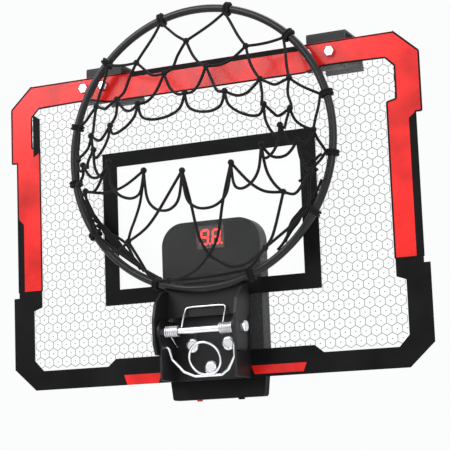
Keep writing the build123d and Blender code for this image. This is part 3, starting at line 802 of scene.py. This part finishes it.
# ---------------------------------------------------------------- the frame's own nodes
# Finish name, colour, roughness, what else sets it, and the nodes that wear it.
NODE_LOOKS = (
    ("clear_sheet", (0.93, 0.945, 0.95), 0.1,
     {"grain": 300, "bump": 0.01, "alpha": 0.03, "shine": 0.3, "mottle": 0.02},
     ("backboard_panel",)),
    ("gloss_black_coat", (0.006, 0.006, 0.007), 0.3,
     {"grain": 500, "bump": 0.12, "wear": 0.12, "shine": 0.3},
     ("rim_ring",)),
    ("black_powder_coat", (0.007, 0.007, 0.008), 0.42,
     {"grain": 1400, "bump": 0.35, "wear": 0.15, "shine": 0.25},
     ("rim_yoke", "rim_bracket", "left_hook", "right_hook")),
    ("black_moulding", (0.0035, 0.0035, 0.004), 0.6,
     {"grain": 1800, "bump": 0.3, "shine": 0.09},
     ("case_front", "case_cover", "battery_hatch", "hook_spacers", "power_slider", "battery_tray")),
    ("bright_zinc", (0.78, 0.79, 0.82), 0.2,
     {"metal": 1.0, "grain": 700, "bump": 0.08, "wear": 0.3},
     ("hook_bolts", "bracket_bolts", "bracket_nuts", "hinge_pin", "pin_cap", "case_screws",
      "circuit_screws")),
    ("trigger_wire", (0.74, 0.74, 0.76), 0.2,
     {"metal": 1.0, "grain": 900, "bump": 0.08, "stretch": (6, 1, 1)},
     ("trigger_lever",)),
    ("nickel", (0.8, 0.78, 0.72), 0.25,
     {"metal": 1.0, "grain": 700, "bump": 0.08},
     ("battery_contacts",)),
    ("natural_nylon", (0.8, 0.79, 0.74), 0.5,
     {"grain": 900, "bump": 0.1},
     ("pin_washers",)),
    ("black_rubber", (0.02, 0.02, 0.02), 0.85,
     {"grain": 1300, "bump": 0.4},
     ("rim_bumpers",)),
    ("smoked_red_window", (0.06, 0.0, 0.0), 0.12,
     {"grain": 400, "bump": 0.01, "alpha": 0.18, "coat": 0.5},
     ("display_window",)),
    ("display_body", (0.02, 0.004, 0.004), 0.6,
     {"grain": 900, "bump": 0.1},
     ("digit_display",)),
    ("green_resist", (0.01, 0.13, 0.04), 0.35,
     {"grain": 500, "bump": 0.15},
     ("circuit_board", "control_board")),
    ("moulded_epoxy", (0.015, 0.015, 0.015), 0.6,
     {"grain": 1500, "bump": 0.2},
     ("sound_chips", "speaker", "button_switch", "power_switch", "trigger_switch")),
    ("cell_wrap", (0.02, 0.02, 0.03), 0.3,
     {"grain": 700, "bump": 0.05, "coat": 0.4},
     ("batteries",)),
    ("button_red", (0.5, 0.015, 0.012), 0.35,
     {"grain": 900, "bump": 0.08},
     ("reset_button",)),
)
REPLACED = {"net_top", "net_bottom", "torsion_spring", "door_pads", "hook_foam"}


class HOOP_OT_finishes(bpy.types.Operator):
    """Give every shown node of the frame its finish"""
    bl_idname = "hoop.finishes"
    bl_label = "Finishes"

    def execute(self, context):
        dressed = set()
        for name, colour, rough, rest, nodes in NODE_LOOKS:
            material = finish(name, colour, rough, **rest)
            for node in nodes:
                clad(node, material)
                dressed.add(node)
        bare = set(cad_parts) - dressed - REPLACED
        if bare:
            raise RuntimeError(f"no finish for {sorted(bare)}")
        return {"FINISHED"}


# ---------------------------------------------------------------- stage
AIM = Vector((0.0163, FRONT, -0.1644))  # where camera and lamps point
FLOOR_DROP = 0.7
SENSOR_WIDTH = 36
LAMPS = (  # name, place, size and power
    ("key_light", (-0.9, -1.4, 0.9), 1.2, 26),
    ("fill_light", (1.5, -1.2, 0.3), 1.5, 12),
    ("top_light", (0.2, 0.6, 1.4), 1.2, 14))


class HOOP_OT_stage(bpy.types.Operator):
    """Set the pale floor, the soft lights and the camera"""
    bl_idname = "hoop.stage"
    bl_label = "Stage"

    def execute(self, context):
        look = context.scene.hoop_stage
        world = bpy.data.worlds.new("studio")
        world.use_nodes = True
        background = world.node_tree.nodes["Background"]
        background.inputs["Color"].default_value = (0.97, 0.975, 0.98, 1)
        background.inputs["Strength"].default_value = 1.0
        context.scene.world = world
        context.scene.view_settings.view_transform = "Standard"
        deselect()
        bpy.ops.mesh.primitive_plane_add(size=8, location=(0, 0, cad_low.z - FLOOR_DROP))
        pale = finish("pale_floor", (0.86, 0.86, 0.86), 0.8, mottle=0.02)
        floor = settle(context.object, "floor", pale)
        for name, place_at, size, power in LAMPS:
            lamp = bpy.data.lights.new(name, "AREA")
            lamp.size = size
            lamp.energy = power
            holder = bpy.data.objects.new(name, lamp)
            holder.location = place_at
            holder.rotation_euler = (AIM - Vector(place_at)).to_track_quat("-Z", "Y").to_euler()
            context.collection.objects.link(holder)
        level = math.cos(look.elevation)
        view = Vector((
            math.sin(look.azimuth) * level,
            -math.cos(look.azimuth) * level,
            math.sin(look.elevation)))
        camera = bpy.data.cameras.new("camera")
        camera.lens = look.lens
        camera.sensor_width = SENSOR_WIDTH
        holder = bpy.data.objects.new("camera", camera)
        holder.location = AIM + view * look.distance
        facing = (-view).to_track_quat("-Z", "Y") @ Quaternion((0, 0, 1), look.roll)
        holder.rotation_euler = facing.to_euler()
        context.collection.objects.link(holder)
        context.scene.camera = holder
        return {"FINISHED"}


STEPS = (
    HOOP_OT_stage, HOOP_OT_finishes, HOOP_OT_board_print, HOOP_OT_honeycomb,
    HOOP_OT_digits, HOOP_OT_pads, HOOP_OT_spring, HOOP_OT_net)


class HOOP_PT_panel(bpy.types.Panel):
    """Shows the hoop's settings and a button for each of its steps"""
    bl_idname = "HOOP_PT_panel"
    bl_label = "Basketball Hoop Machine"
    bl_space_type = "VIEW_3D"
    bl_region_type = "UI"
    bl_category = "Hoop"

    def draw(self, context):
        for group in (context.scene.hoop_print, context.scene.hoop_net, context.scene.hoop_stage):
            for name in group.__annotations__:
                self.layout.prop(group, name)
        for step in STEPS:
            self.layout.operator(step.bl_idname)


CLASSES = (HoopPrint, HoopNet, HoopStage, *STEPS, HOOP_PT_panel)


def register():
    for kind in CLASSES:
        bpy.utils.register_class(kind)
    bpy.types.Scene.hoop_print = bpy.props.PointerProperty(type=HoopPrint)
    bpy.types.Scene.hoop_net = bpy.props.PointerProperty(type=HoopNet)
    bpy.types.Scene.hoop_stage = bpy.props.PointerProperty(type=HoopStage)


def unregister():
    del bpy.types.Scene.hoop_print
    del bpy.types.Scene.hoop_net
    del bpy.types.Scene.hoop_stage
    for kind in reversed(CLASSES):
        bpy.utils.unregister_class(kind)


def main():
    register()
    for step in STEPS:
        group, action = step.bl_idname.split(".")
        getattr(getattr(bpy.ops, group), action)()


if __name__ == "__main__":
    main()
